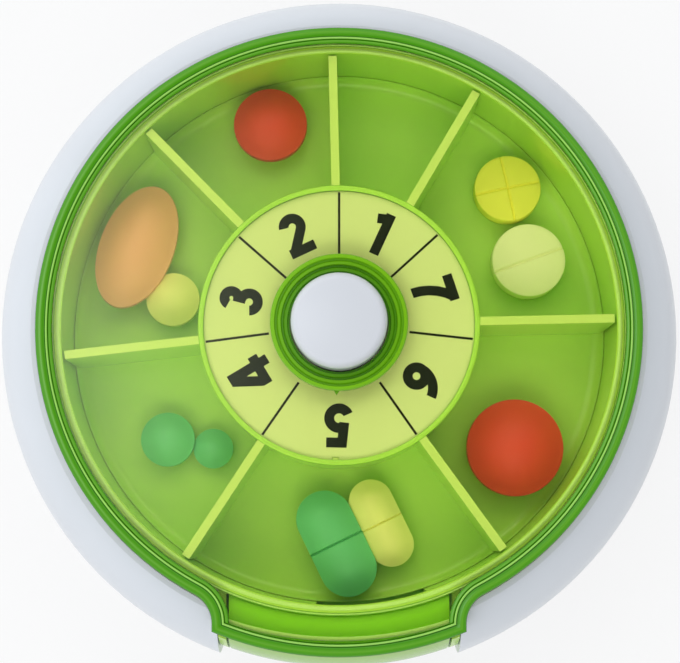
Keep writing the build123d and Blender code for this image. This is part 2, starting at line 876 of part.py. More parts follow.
def make_outlet_door():
    """A curved flap whose barrel turns on the door pin. Its upper edge has a step and a groove."""
    top_z = wall_top_z
    shoulder_z = top_z - door_lip
    low_radius = door_low_radius - door_draft
    outer = door_outline(shoulder_z)
    inner_top = tab_radius - door_thickness
    inner_low = door_low_radius - door_thickness
    outline = Curve() + outer + [
        Line((tab_radius, shoulder_z), (tab_radius - door_lip, shoulder_z)),
        Line((tab_radius - door_lip, shoulder_z), (tab_radius - door_lip, top_z)),
        Line((tab_radius - door_lip, top_z), (inner_top, top_z)),
        Line((inner_top, top_z), (inner_low, base_widest_z)),
        Line((inner_low, base_widest_z), (inner_low, door_low_z)),
        Line((inner_low, door_low_z), (low_radius, door_low_z)),
    ]
    panel = revolve(Plane.XZ * make_face(outline), Axis.Z)
    panel &= front_block(door_half_width, -hub_radius, 0, lid_z)
    barrel = across(hinge_barrel, door_half_width, hinge_y, hinge_z)
    shelf = Pos(0, hinge_y, hinge_z) * Box(
        2 * door_half_width,
        door_low_radius + hinge_y,
        hinge_barrel,
        align=(Align.CENTER, Align.MAX, Align.MIN),
    )
    shelf &= disc(door_low_radius - door_thickness / 2, hinge_z, spout_z)
    door = panel + barrel + shelf
    door -= disc(-hinge_y - hinge_barrel, spout_z, lid_z)
    return door - across(door_pin_radius + pin_running_fit, door_half_width, hinge_y, hinge_z)


pieces = {
    "base_shell": make_base_shell,
    "bottom_cover": make_bottom_cover,
    "cover_screws": make_cover_screws,
    "foot_ring": make_foot_ring,
    "liner_ring": make_liner_ring,
    "centre_post": make_centre_post,
    "post_screw": make_post_screw,
    "thrust_washer": make_thrust_washer,
    "carousel_clip": make_carousel_clip,
    "detent_spring": make_detent_spring,
    "detent_screw": make_detent_screw,
    "door_pin": make_door_pin,
    "return_spring": make_return_spring,
    "lid": make_lid,
    "button_bezel": make_button_bezel,
    "carousel_tray": make_carousel_tray,
    "ratchet_ring": make_ratchet_ring,
    "number_label": make_number_label,
    "drive_sleeve": make_drive_sleeve,
    "pawl_wheel": make_pawl_wheel,
    "button_cap": make_button_cap,
    "button_plunger": make_button_plunger,
    "drive_pins": make_drive_pins,
    "outlet_door": make_outlet_door,
}

os.makedirs("parts", exist_ok=True)
for name, make in pieces.items():
    piece = make()
    export_step(piece, f"parts/{name}.step")
    print(name, len(piece.solids()), "solid, volume", round(piece.volume, 1))
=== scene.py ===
# %% [markdown]
# A push-button pill box, dressed step by step.
# The box holds a week of tablets in a green tray with seven compartments. A white button in the middle
# turns the tray, and a clear green lid keeps the tablets in. The construction is loaded as a fixed frame:
# this lesson never moves it, and only gives it its finish and the small things that a frame leaves out.
# Everything is in metres, with +Z up and the outlet of the box towards -Y.

# %% Load the frame
import math

import bmesh
import bpy
from mathutils import Matrix, Vector


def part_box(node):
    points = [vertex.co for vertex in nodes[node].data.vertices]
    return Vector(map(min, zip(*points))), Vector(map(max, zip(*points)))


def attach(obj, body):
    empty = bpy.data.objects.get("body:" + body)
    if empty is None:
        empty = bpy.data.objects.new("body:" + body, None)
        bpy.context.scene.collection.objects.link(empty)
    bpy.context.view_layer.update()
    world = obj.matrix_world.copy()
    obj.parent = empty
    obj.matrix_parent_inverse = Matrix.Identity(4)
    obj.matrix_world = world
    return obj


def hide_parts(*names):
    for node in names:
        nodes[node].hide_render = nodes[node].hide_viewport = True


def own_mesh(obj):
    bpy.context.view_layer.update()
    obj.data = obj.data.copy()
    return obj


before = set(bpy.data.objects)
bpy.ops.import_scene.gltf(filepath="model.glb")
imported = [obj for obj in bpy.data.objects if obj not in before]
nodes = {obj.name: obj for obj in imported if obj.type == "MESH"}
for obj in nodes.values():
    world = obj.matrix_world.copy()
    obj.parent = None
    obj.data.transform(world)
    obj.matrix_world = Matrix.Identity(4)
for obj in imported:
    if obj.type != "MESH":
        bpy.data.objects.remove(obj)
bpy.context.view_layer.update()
mm = 0.001

# %% [markdown]
# The frame knows how high and how wide each piece is. Levels and radii are read from it once, so that
# every new piece sits on what carries it, also when the construction changes.


# %% Levels and radii from the frame
def top_of(node):
    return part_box(node)[1][2]


def reach_of(node):
    """How far a round piece reaches from the axis, along X."""
    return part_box(node)[1][0]


tray_top = top_of("carousel_tray")
tray_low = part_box("carousel_tray")[0][2]
floor_thickness = 1.2 * mm
tray_floor = tray_low + floor_thickness
label_top = top_of("number_label")
lid_top = top_of("lid")
bezel_top = top_of("button_bezel")
bezel_radius = reach_of("button_bezel")
label_radius = reach_of("number_label")
lid_radius = reach_of("lid")
for level_name, level in (("tray floor", tray_floor), ("label", label_top), ("lid", lid_top)):
    print(level_name, round(level / mm, 2), "mm")

# %% [markdown]
# Most finishes here share one effect: a moulded surface is never quite even. Its gloss varies a little
# from place to place and it carries a very fine grain. An image could hold that, but a noise that reads
# the object's own coordinates has no seams and stays sharp at every size. It is built once, as a node
# group with named inputs and outputs, and each material gives it its own values.


# %% Shared effect: moulded grain
def new_group(name, inputs, outputs):
    group = bpy.data.node_groups.new(name, "ShaderNodeTree")
    for socket_name, kind, value in inputs:
        socket = group.interface.new_socket(socket_name, in_out="INPUT", socket_type=kind)
        socket.default_value = value
    for socket_name, kind in outputs:
        group.interface.new_socket(socket_name, in_out="OUTPUT", socket_type=kind)
    return group, group.nodes.new("NodeGroupInput"), group.nodes.new("NodeGroupOutput")


def add_node(tree, kind, **settings):
    node = tree.nodes.new(kind)
    for key, value in settings.items():
        setattr(node, key, value)
    return node


def link(tree, source, target):
    tree.links.new(source, target)


def make_grain_group():
    group, given, out = new_group(
        "moulded grain",
        [
            ("Size", "NodeSocketFloat", 900.0),
            ("Roughness", "NodeSocketFloat", 0.3),
            ("Variation", "NodeSocketFloat", 0.06),
        ],
        [("Roughness", "NodeSocketFloat"), ("Height", "NodeSocketFloat"), ("Mottle", "NodeSocketFloat")],
    )
    place = add_node(group, "ShaderNodeTexCoord")
    fine = add_node(group, "ShaderNodeTexNoise")
    fine.inputs["Detail"].default_value = 3.0
    cloud = add_node(group, "ShaderNodeTexNoise")
    cloud.inputs["Scale"].default_value = 60.0
    cloud.inputs["Detail"].default_value = 2.0
    spread = add_node(group, "ShaderNodeMath", operation="MULTIPLY_ADD")
    centred = add_node(group, "ShaderNodeMath", operation="SUBTRACT")
    centred.inputs[1].default_value = 0.5
    link(group, place.outputs["Object"], fine.inputs["Vector"])
    link(group, given.outputs["Size"], fine.inputs["Scale"])
    link(group, place.outputs["Object"], cloud.inputs["Vector"])
    link(group, cloud.outputs["Fac"], centred.inputs[0])
    link(group, centred.outputs[0], spread.inputs[0])
    link(group, given.outputs["Variation"], spread.inputs[1])
    link(group, given.outputs["Roughness"], spread.inputs[2])
    link(group, spread.outputs[0], out.inputs["Roughness"])
    link(group, fine.outputs["Fac"], out.inputs["Height"])
    link(group, cloud.outputs["Fac"], out.inputs["Mottle"])
    return group


grain_group = make_grain_group()
print("group", grain_group.name, "made")

# %% [markdown]
# Tinted plastic lets light through, so the thin upper edges of its walls look much paler than the floor.
# Scattering inside the plastic would show that, but it is slow and grainy. The pale edge always lies at
# the same height on this tray, so a ramp over the height paints that glow into the colour at no cost:
# a painted glow, which holds from all sides.


# %% Shared effect: colour by height
def make_height_group():
    group, given, out = new_group(
        "colour by height",
        [
            ("Low", "NodeSocketFloat", 0.0),
            ("High", "NodeSocketFloat", 1.0),
            ("Body", "NodeSocketColor", (0.5, 0.5, 0.5, 1.0)),
            ("Edge", "NodeSocketColor", (0.8, 0.8, 0.8, 1.0)),
        ],
        [("Color", "NodeSocketColor"), ("Mask", "NodeSocketFloat")],
    )
    place = add_node(group, "ShaderNodeTexCoord")
    split = add_node(group, "ShaderNodeSeparateXYZ")
    ramp = add_node(group, "ShaderNodeMapRange", interpolation_type="SMOOTHSTEP")
    mix = add_node(group, "ShaderNodeMix", data_type="RGBA")
    link(group, place.outputs["Object"], split.inputs[0])
    link(group, split.outputs["Z"], ramp.inputs["Value"])
    link(group, given.outputs["Low"], ramp.inputs["From Min"])
    link(group, given.outputs["High"], ramp.inputs["From Max"])
    link(group, ramp.outputs["Result"], mix.inputs["Factor"])
    link(group, given.outputs["Body"], mix.inputs["A"])
    link(group, given.outputs["Edge"], mix.inputs["B"])
    link(group, mix.outputs["Result"], out.inputs["Color"])
    link(group, ramp.outputs["Result"], out.inputs["Mask"])
    return group


height_group = make_height_group()
print("group", height_group.name, "made")

# %% [markdown]
# A material here is one Principled shader, with the grain group behind its roughness and its bump.
# One function makes that base, and each finish changes only what makes it different.


# %% Material base
def plastic(name, colour, roughness, variation=0.06, bump=0.02, size=900.0, bump_distance=0.00005):
    """A moulded surface: one colour, a little cloudy, with uneven gloss and a fine grain."""
    material = bpy.data.materials.new(name)
    material.use_nodes = True
    tree = material.node_tree
    shader = tree.nodes["Principled BSDF"]
    grain = add_node(tree, "ShaderNodeGroup", node_tree=grain_group)
    grain.inputs["Size"].default_value = size
    grain.inputs["Roughness"].default_value = roughness
    grain.inputs["Variation"].default_value = variation
    relief = add_node(tree, "ShaderNodeBump")
    relief.inputs["Strength"].default_value = bump
    relief.inputs["Distance"].default_value = bump_distance
    shade = add_node(tree, "ShaderNodeMix", data_type="RGBA")
    shade.inputs["A"].default_value = (*[c * 0.96 for c in colour], 1.0)
    shade.inputs["B"].default_value = (*[min(1.0, c * 1.04) for c in colour], 1.0)
    link(tree, grain.outputs["Mottle"], shade.inputs["Factor"])
    link(tree, shade.outputs["Result"], shader.inputs["Base Color"])
    link(tree, grain.outputs["Roughness"], shader.inputs["Roughness"])
    link(tree, grain.outputs["Height"], relief.inputs["Height"])
    link(tree, relief.outputs["Normal"], shader.inputs["Normal"])
    return material


def height_step(material, body, edge, low, high):
    """Adds the height group to a material: body below the height low, edge above the height high."""
    step = add_node(material.node_tree, "ShaderNodeGroup", node_tree=height_group)
    step.inputs["Low"].default_value = low
    step.inputs["High"].default_value = high
    step.inputs["Body"].default_value = (*body, 1.0)
    step.inputs["Edge"].default_value = (*edge, 1.0)
    return step


def tinted(name, body, edge, low, high, roughness):
    """Translucent plastic with a painted glow: paler at its upper edge between the heights low and high."""
    material = plastic(name, body, roughness, bump=0.006, size=1400.0)
    step = height_step(material, body, edge, low, high)
    shader = material.node_tree.nodes["Principled BSDF"]
    link(material.node_tree, step.outputs["Color"], shader.inputs["Base Color"])
    return material


def coat(material, weight, roughness):
    """A thin clear skin over the plastic."""
    shader = material.node_tree.nodes["Principled BSDF"]
    shader.inputs["Coat Weight"].default_value = weight
    shader.inputs["Coat Roughness"].default_value = roughness


def metal(name, colour, roughness):
    material = plastic(name, colour, roughness, variation=0.12, bump=0.05, size=2500.0)
    material.node_tree.nodes["Principled BSDF"].inputs["Metallic"].default_value = 1.0
    return material


# %% [markdown]
# The white parts are satin, a shade cool. The button is polished a little more, because a finger
# slides over it. The mechanism under the tray is plain white, and the sliding parts are a warmer white.

# %% White plastics and metals
white_shell = plastic("white_shell", (0.80, 0.83, 0.87), 0.34, variation=0.1)
white_button = plastic("white_button", (0.78, 0.80, 0.84), 0.22)
white_mechanism = plastic("white_mechanism", (0.74, 0.74, 0.73), 0.45)
pale_slider = plastic("pale_slider", (0.78, 0.76, 0.69), 0.5)
spring_steel = metal("spring_steel", (0.6, 0.6, 0.62), 0.25)
steel_pin = metal("steel_pin", (0.62, 0.62, 0.64), 0.3)
zinc_screw = metal("zinc_screw", (0.66, 0.66, 0.68), 0.35)
grey_rubber = plastic("grey_rubber", (0.055, 0.058, 0.06), 0.85, bump=0.3, size=1600.0)
for material in (white_shell, white_button):
    coat(material, 0.25, 0.12)
print("plain materials", len(bpy.data.materials))

# %% [markdown]
# The tray, the liner and the door are one family of green. Their body colours are those of the plastic
# itself:
# under the green lid they turn deeper. Their paler edge colours are painted glow on the upper edges.

# %% Green plastics
painted_edge_glow = (0.64, 0.86, 0.22)
floor_green = (0.54, 0.85, 0.16)
green_tray = tinted("green_tray", floor_green, painted_edge_glow, tray_top - 0.9 * mm, tray_top - 0.05 * mm, 0.3)
green_liner = tinted(
    "green_liner", (0.46, 0.76, 0.10), (0.48, 0.80, 0.10), tray_top - 0.5 * mm, tray_top - 0.05 * mm, 0.25
)
# The door is painted paler towards its top, a painted glow.
green_door = tinted("green_door", (0.15, 0.45, 0.025), (0.34, 0.62, 0.08), tray_floor, tray_top, 0.2)
# The bezel is painted paler towards its top: a painted highlight on its upper steps and painted shade in its
# lower grooves.
deep_green_bezel = tinted(
    "deep_green_bezel", (0.08, 0.31, 0.003), (0.22, 0.56, 0.006), lid_top, bezel_top + 0.1 * mm, 0.14
)
for material, weight in ((green_tray, 0.3), (green_liner, 0.2), (green_door, 0.05), (deep_green_bezel, 0.3)):
    coat(material, weight, 0.08)
print("greens made")

# %% [markdown]
# The lid is clear acrylic, tinted in the mass, so a longer way through it is darker: the flat top only
# tints the tray, while the rim turns deep green. Volume absorption does exactly that. Light from the
# lamps has to reach the tray, so shadow rays pass through a Transparent shader.


# %% Clear green lid
lid_passes = (0.93, 0.95, 0.40, 1.0)
lid_density = 320.0
acrylic_ior = 1.49


def make_lid_material():
    material = bpy.data.materials.new("clear_green_lid")
    material.use_nodes = True
    tree = material.node_tree
    shader = tree.nodes["Principled BSDF"]
    out = tree.nodes["Material Output"]
    shader.inputs["Base Color"].default_value = (1.0, 1.0, 1.0, 1.0)
    shader.inputs["Roughness"].default_value = 0.03
    shader.inputs["IOR"].default_value = acrylic_ior
    shader.inputs["Transmission Weight"].default_value = 1.0
    clear = add_node(tree, "ShaderNodeBsdfTransparent")
    clear.inputs["Color"].default_value = (1.0, 1.0, 1.0, 1.0)
    path = add_node(tree, "ShaderNodeLightPath")
    mix = add_node(tree, "ShaderNodeMixShader")
    depth = add_node(tree, "ShaderNodeVolumeAbsorption")
    depth.inputs["Color"].default_value = lid_passes
    depth.inputs["Density"].default_value = lid_density
    link(tree, path.outputs["Is Shadow Ray"], mix.inputs["Fac"])
    link(tree, shader.outputs["BSDF"], mix.inputs[1])
    link(tree, clear.outputs["BSDF"], mix.inputs[2])
    link(tree, mix.outputs["Shader"], out.inputs["Surface"])
    link(tree, depth.outputs["Volume"], out.inputs["Volume"])
    return material


clear_green_lid = make_lid_material()
printed_label = plastic("printed_label", (0.74, 0.85, 0.4), 0.6, bump=0.05, size=3000.0)
label_ink = plastic("label_ink", (0.007, 0.012, 0.004), 0.7, bump=0.05, size=3000.0)
label_ink.node_tree.nodes["Principled BSDF"].inputs["Specular IOR Level"].default_value = 0.2
print("lid and label finishes made")

# %% [markdown]
# Each node of the construction gets its finish by name.

# %% Dress the construction
finishes = {
    white_shell: ["base_shell"],
    white_button: ["button_cap"],
    white_mechanism: ["bottom_cover", "centre_post", "button_plunger", "pawl_wheel", "ratchet_ring"],
    pale_slider: ["drive_sleeve", "thrust_washer", "carousel_clip"],
    green_tray: ["carousel_tray"],
    green_liner: ["liner_ring"],
    green_door: ["outlet_door"],
    deep_green_bezel: ["button_bezel"],
    clear_green_lid: ["lid"],
    printed_label: ["number_label"],
    spring_steel: ["detent_spring", "return_spring"],
    steel_pin: ["door_pin", "drive_pins"],
    zinc_screw: ["cover_screws", "post_screw", "detent_screw"],
    grey_rubber: ["foot_ring"],
}
for material, names in finishes.items():
    for name in names:
        for slot in nodes[name].material_slots:
            slot.material = material
print("dressed", sum(len(names) for names in finishes.values()), "nodes")


# %% [markdown]
# New pieces are made with bmesh. Each one ends the same way: normals outwards, a name, a material,
# a body to ride on and the slot that it takes its finish from.


# %% Finish a piece
def add_piece(name, mesh_work, material):
    """Writes the bmesh to a named object at the origin."""
    mesh = bpy.data.meshes.new(name)
    mesh_work.to_mesh(mesh)
    mesh_work.free()
    mesh.materials.append(material)
    piece = bpy.data.objects.new(name, mesh)
    bpy.context.scene.collection.objects.link(piece)
    return piece


def finish_piece(name, mesh_work, material, body, smooth_angle=35.0):
    """Makes the piece, smooths it and gives it its body and the slot of its finish."""
    piece = add_piece(name, mesh_work, material)
    piece.data.shade_smooth()
    piece.data.set_sharp_from_angle(angle=math.radians(smooth_angle))
    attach(piece, body)
    return piece


# %% [markdown]
# The days are plain numbers in heavy print. A font would bring its own character, so each number is drawn
# as a few strokes, as a sign painter does: a straight run is an extruded edge, a round run is a spun
# edge. Strokes are given in shares of the number's height, x to the right and y upwards.


# %% Number strokes
degrees_a_step = 9
fewest_steps = 4


def straight(mesh_work, width, start, end):
    """A straight stroke from start to end."""
    way = (Vector(end) - Vector(start)).normalized()
    side = Vector((-way.y, way.x)) * width / 2
    corners = [Vector(start) - side, Vector(start) + side]
    ends = [mesh_work.verts.new((corner.x, corner.y, 0)) for corner in corners]
    edge = mesh_work.edges.new(ends)
    grown = bmesh.ops.extrude_edge_only(mesh_work, edges=[edge])["geom"]
    moved = [part for part in grown if isinstance(part, bmesh.types.BMVert)]
    step = Vector(end) - Vector(start)
    bmesh.ops.translate(mesh_work, verts=moved, vec=(step.x, step.y, 0))


def rounded(mesh_work, width, centre, radius, first, last):
    """A round stroke about centre, from the angle first to the angle last, in degrees."""
    ends = []
    for reach in (radius - width / 2, radius + width / 2):
        x = centre[0] + reach * math.cos(math.radians(first))
        y = centre[1] + reach * math.sin(math.radians(first))
        ends.append(mesh_work.verts.new((x, y, 0)))
    edge = mesh_work.edges.new(ends)
    bmesh.ops.spin(
        mesh_work,
        geom=[*ends, edge],
        cent=(*centre, 0),
        axis=(0, 0, 1),
        angle=math.radians(last - first),
        steps=max(fewest_steps, int(abs(last - first) / degrees_a_step)),
        use_merge=abs(last - first) >= 360,
        use_duplicate=False,
    )


stroke = 0.225
half_stroke = stroke / 2
number_strokes = {
    1: [
        (straight, (0.36, 0), (0.36, 1)),
        (straight, (0.4, 1 - half_stroke), (0.1, 0.91 - half_stroke)),
    ],
    2: [
        (rounded, (0.31, 0.69), 0.197, 168, -40),
        (straight, (0.475, 0.58), (0.12, 0.12)),
        (straight, (0.01, half_stroke), (0.62, half_stroke)),
    ],
    3: [
        (rounded, (0.29, 0.73), 0.157, 165, -90),
        (straight, (0.235, 0.57), (0.3, 0.57)),
        (straight, (0.235, 0.51), (0.3, 0.51)),
        (rounded, (0.3, 0.31), 0.197, 90, -165),
    ],
    4: [
        (straight, (0.45, 0.953), (0.1, 0.33)),
        (straight, (0.0, 0.27), (0.72, 0.27)),
        (straight, (0.5, 0), (0.5, 1)),
    ],
    5: [
        (straight, (0.1, 1 - half_stroke), (0.56, 1 - half_stroke)),
        (straight, (0.21, 0.98), (0.16, 0.43)),
        (rounded, (0.28, 0.335), 0.222, 125, -155),
    ],
    6: [
        (rounded, (0.33, 0.315), 0.2, 0, 360),
        (rounded, (0.63, 0.36), 0.5, 178, 100),
    ],
    7: [
        (straight, (0.0, 1 - half_stroke), (0.61, 1 - half_stroke)),
        (rounded, (1.365, 0.034), 1.2, 181.6, 134),
    ],
}
print("numbers", sorted(number_strokes))

# %% [markdown]
# The numbers stand in a ring with their tops outwards, printed 0.03 mm thick on the label, and a thin line
# parts one day from the next. Print this thin could be a picture, but as a mesh it stays sharp close up.

# %% Numbers on the label
number_height = 6.3 * mm
number_circle = 14.5 * mm
number_middle = 0.32
ink_thickness = 0.03 * mm
ink_sunk = 0.004 * mm
stroke_lift = 0.0004
number_angles = {1: 65.4, 2: 115.3, 3: 165.4, 4: 211.2, 5: 268.9, 6: 326.3, 7: 18.2}


def print_number(number):
    """One number as a flat print on the label. Strokes that cross lie a trace above each other."""
    mesh_work = bmesh.new()
    for layer, (draw, *values) in enumerate(number_strokes[number]):
        before = set(mesh_work.verts)
        draw(mesh_work, stroke, *values)
        drawn = [vert for vert in mesh_work.verts if vert not in before]
        bmesh.ops.translate(mesh_work, verts=drawn, vec=(0, 0, layer * stroke_lift))
    bmesh.ops.recalc_face_normals(mesh_work, faces=mesh_work.faces)
    down = [face for face in mesh_work.faces if face.normal.z < 0]
    bmesh.ops.reverse_faces(mesh_work, faces=down)
    raised = bmesh.ops.extrude_face_region(mesh_work, geom=list(mesh_work.faces))["geom"]
    lifted = [part for part in raised if isinstance(part, bmesh.types.BMVert)]
    bmesh.ops.translate(mesh_work, verts=lifted, vec=(0, 0, ink_thickness / number_height))
    bmesh.ops.translate(mesh_work, verts=mesh_work.verts, vec=(-number_middle, -0.5, 0))
    bmesh.ops.recalc_face_normals(mesh_work, faces=mesh_work.faces)
    turn = math.radians(number_angles[number])
    place = (
        Matrix.Rotation(turn, 4, "Z")
        @ Matrix.Translation((number_circle, 0, label_top - ink_sunk))
        @ Matrix.Rotation(-math.pi / 2, 4, "Z")
        @ Matrix.Scale(number_height, 4)
    )
    bmesh.ops.transform(mesh_work, matrix=place, verts=mesh_work.verts)
    return finish_piece(f"number_{number}", mesh_work, label_ink, "carousel")


for number in number_strokes:
    print_number(number)
print("numbers printed", len(number_strokes))

# %% [markdown]
# Seven thin lines run from the bezel to the edge of the label.

# %% Lines between the numbers
line_width = 0.34 * mm
line_start = bezel_radius + 0.35 * mm
line_end = label_radius - 0.15 * mm
line_angles = [90, 42.5, -6.3, -55.1, -124.6, -172.5, 138.6]


def print_lines():
    mesh_work = bmesh.new()
    for angle in line_angles:
        made = bmesh.ops.create_cube(mesh_work, size=1.0)["verts"]
        bmesh.ops.scale(mesh_work, vec=(line_end - line_start, line_width, ink_thickness), verts=made)
        middle = (line_start + line_end) / 2
        bmesh.ops.translate(mesh_work, vec=(middle, 0, label_top + ink_thickness / 3), verts=made)
        turn = Matrix.Rotation(math.radians(angle), 3, "Z")
        bmesh.ops.rotate(mesh_work, cent=(0, 0, 0), matrix=turn, verts=made)
    return finish_piece("day_lines", mesh_work, label_ink, "carousel")


print_lines()
print("lines printed", len(line_angles))

# %% [markdown]
# The lid has a raised rim that follows its keyhole outline, so no spin can make it. The outline is drawn
# by arcs: the big one, a flare on each side, the sides of the tab and the front arc. Moved inwards, the
# same arcs give a parallel outline, and where the tab's sides get too short, the flares run into the front.
# Along the front the band is narrower, because the wall of the tab is thinner than that of the ring.

# %% Outline of the lid
tab_half = 17.7 * mm
tab_front = 46.8 * mm
tab_flare = 4.5 * mm
front_band = 1.92 * mm


def arc_points(centre, radius, first, last, count):
    """Points on an arc about centre, from the angle first to the angle last, in degrees."""
    points = []
    for i in range(count + 1):
        angle = math.radians(first + (last - first) * i / count)
        points.append((centre[0] + radius * math.cos(angle), centre[1] + radius * math.sin(angle)))
    return points


def keyhole_points(grow=0.0):
    """The lid's outline, anticlockwise from the right flare, moved outwards by grow."""
    radius = lid_radius + grow
    half = tab_half + grow
    front = tab_front + max(grow, -front_band)
    flare = tab_flare - grow
    flare_x = half + flare
    flare_y = -math.sqrt((radius + flare) ** 2 - flare_x**2)
    meet = math.degrees(math.atan2(flare_y, flare_x))
    reach = radius + flare
    opening = math.acos((flare**2 + reach**2 - front**2) / (2 * flare * reach))
    end = max(0.0, -meet - math.degrees(opening))
    half = flare_x - flare * math.cos(math.radians(end))
    corner = math.degrees(math.acos(half / front))
    points = arc_points((0, 0), radius, meet, 180 - meet, 180)
    points += arc_points((-flare_x, flare_y), flare, -meet, end, 12)[1:]
    points += arc_points((0, 0), front, corner - 180, -corner, 40)
    points += arc_points((flare_x, flare_y), flare, 180 - end, 180 + meet, 12)[:-1]
    return points


print("outline points", len(keyhole_points()))

# %% [markdown]
# Each step of the rim is one more outline: how far inwards from the lid's edge, and how far above its top.
# Bridging each outline to the next makes the band, and the last one is bridged back to the first, so the
# rim is closed and sits on the clear lid. Two outlines that lie almost in one plane confuse the bridge, so
# they are bridged while they stand far apart, like the rings of a paper lantern, and let down afterwards.
# The broad outer band is a deep green, because light has a long way through the plastic there, and the
# thin ridge beside it is painted almost as pale as the light that it catches, a painted highlight. A second
# height step under the first paints the lowest lines of the rim darker still, a painted shade line.

# %% Raised rim of the lid
rim_outlines = [
    (-0.05, -0.75), (-0.05, -0.05), (0.05, 0.09), (0.25, 0.15), (0.6, 0.2), (0.95, 0.17), (1.2, 0.1),
    (1.36, 0.03), (1.44, 0.3), (1.56, 0.36), (1.68, 0.3), (1.76, 0.03), (1.92, 0.21), (2.12, 0.2),
    (2.3, 0.13), (2.38, -0.05), (2.38, -0.75),
]
loops_apart = 10 * mm
# Painted shade for the rim's lowest lines, and a painted highlight for its ridge.
rim_painted_shade = (0.035, 0.19, 0.003)
rim_deep = (0.078, 0.35, 0.004)
rim_painted_highlight = (0.38, 0.76, 0.12)
rim_green = tinted("rim_green", rim_deep, rim_painted_highlight, lid_top + 0.14 * mm, lid_top + 0.34 * mm, 0.16)
rim_shader = rim_green.node_tree.nodes["Principled BSDF"]
rim_highlight_step = rim_shader.inputs["Base Color"].links[0].from_node
# The second height step paints the shade into the lowest lines of the rim.
rim_shade_step = height_step(rim_green, rim_painted_shade, rim_deep, lid_top + 0.02 * mm, lid_top + 0.11 * mm)
link(rim_green.node_tree, rim_shade_step.outputs["Color"], rim_highlight_step.inputs["Body"])
coat(rim_green, 0.3, 0.05)


def make_rim():
    mesh_work = bmesh.new()
    loops = []
    for i, (inset, _) in enumerate(rim_outlines):
        verts = [mesh_work.verts.new((x, y, i * loops_apart)) for x, y in keyhole_points(-inset * mm)]
        loops.append([mesh_work.edges.new((verts[k - 1], verts[k])) for k in range(len(verts))])
    for i in range(len(loops)):
        bmesh.ops.bridge_loops(mesh_work, edges=loops[i - 1] + loops[i])
    for vert in mesh_work.verts:
        rise = rim_outlines[round(vert.co.z / loops_apart)][1]
        vert.co.z = lid_top + rise * mm
    bmesh.ops.recalc_face_normals(mesh_work, faces=mesh_work.faces)
    print("rim volume", round(mesh_work.calc_volume(signed=True) / mm**3, 1), "cubic mm")
    return finish_piece("lid_rim", mesh_work, rim_green, "lid", smooth_angle=30.0)


rim = make_rim()
print("rim faces", len(rim.data.polygons))

# %% [markdown]
# Five small parts have one section all along, so each is that section spun about an upright axis: a bead
# with a lip on the top edge of the liner ring, a rib across the underside of the tab, a cove that leads the
# tray's floor up to its wall, a bead on the hub, and the ledge inside the door. A section is a closed line
# of points, each with its distance from the axis and its height. The liner bead's top is painted pale, a
# painted glow, and its lip a deeper green.

# %% Spun sections
bead_green = tinted(
    "bead_green", (0.27, 0.60, 0.05), (0.62, 0.94, 0.28), tray_top - 0.14 * mm, tray_top + 0.04 * mm, 0.2
)
liner_inner = 39.8 * mm
liner_outer = 40.8 * mm
section_step = 1.5
fewest_section_steps = 24


def spin_closed(section, first, sweep, steps):
    """The closed section spun about an upright axis, from the angle first through sweep degrees."""
    mesh_work = bmesh.new()
    verts = [mesh_work.verts.new((reach, 0, level)) for reach, level in section]
    edges = [mesh_work.edges.new((verts[i - 1], verts[i])) for i in range(len(verts))]
    turn = Matrix.Rotation(math.radians(first), 3, "Z")
    bmesh.ops.rotate(mesh_work, cent=(0, 0, 0), matrix=turn, verts=verts)
    bmesh.ops.spin(
        mesh_work,
        geom=verts + edges,
        cent=(0, 0, 0),
        axis=(0, 0, 1),
        angle=math.radians(sweep),
        steps=steps,
        use_merge=sweep >= 360,
        use_duplicate=False,
    )
    return mesh_work


def close_ends(mesh_work):
    """Fills the open ends of a tube."""
    open_edges = [edge for edge in mesh_work.edges if edge.is_boundary]
    bmesh.ops.holes_fill(mesh_work, edges=open_edges, sides=0)


def spun_section(name, section, material, body, first=0.0, sweep=360.0, axis_y=0.0):
    """A finished piece of one section, whole or in part, about the upright axis at axis_y."""
    mesh_work = spin_closed(section, first, sweep, max(fewest_section_steps, int(sweep / section_step)))
    if sweep < 360:
        close_ends(mesh_work)
    bmesh.ops.translate(mesh_work, vec=(0, axis_y, 0), verts=mesh_work.verts)
    bmesh.ops.recalc_face_normals(mesh_work, faces=mesh_work.faces)
    return finish_piece(name, mesh_work, material, body, smooth_angle=50.0)


def bar_section(radius, level, width, height):
    """A bar with a rounded upper side."""
    corners = [(-0.5, 0), (0.5, 0), (0.5, 0.55), (0.32, 0.9), (0, 1), (-0.32, 0.9), (-0.5, 0.55)]
    return [(radius + x * width, level + z * height) for x, z in corners]


bead_points = [
    (0.14, -0.3), (0.14, 0.0), (0.22, 0.12), (0.42, 0.17), (0.62, 0.12), (0.72, 0.0), (0.82, -0.16),
    (1.06, -0.16), (1.14, -0.02), (1.22, 0.02), (1.3, -0.02), (1.38, -0.16), (1.45, -0.25),
    (1.45, -0.5), (0.9, -0.5), (0.9, -0.3),
]
bead_section = [(liner_inner + out * mm, tray_top + up * mm) for out, up in bead_points]
bead = spun_section("liner_bead", bead_section, bead_green, "base")
print("bead faces", len(bead.data.polygons))

# %% [markdown]
# The rib under the tab is flatter than the ring, so its axis lies behind the middle of the box.

# %% Rib under the tab
rib_reach = 50.0 * mm
rib_front = 44.42 * mm
rib_half_angle = 18.1
rib_width = 0.6 * mm
rib_height = 0.4 * mm
lid_thickness = 1.5 * mm
rib_level = lid_top - lid_thickness - 0.42 * mm
rib_section = bar_section(rib_reach, rib_level, rib_width, rib_height)
# The rib takes the pale green of the bead, a painted glow.
rib = spun_section(
    "tab_rib", rib_section, bead_green, "lid",
    first=-90 - rib_half_angle, sweep=2 * rib_half_angle, axis_y=rib_reach - rib_front,
)
print("rib faces", len(rib.data.polygons))

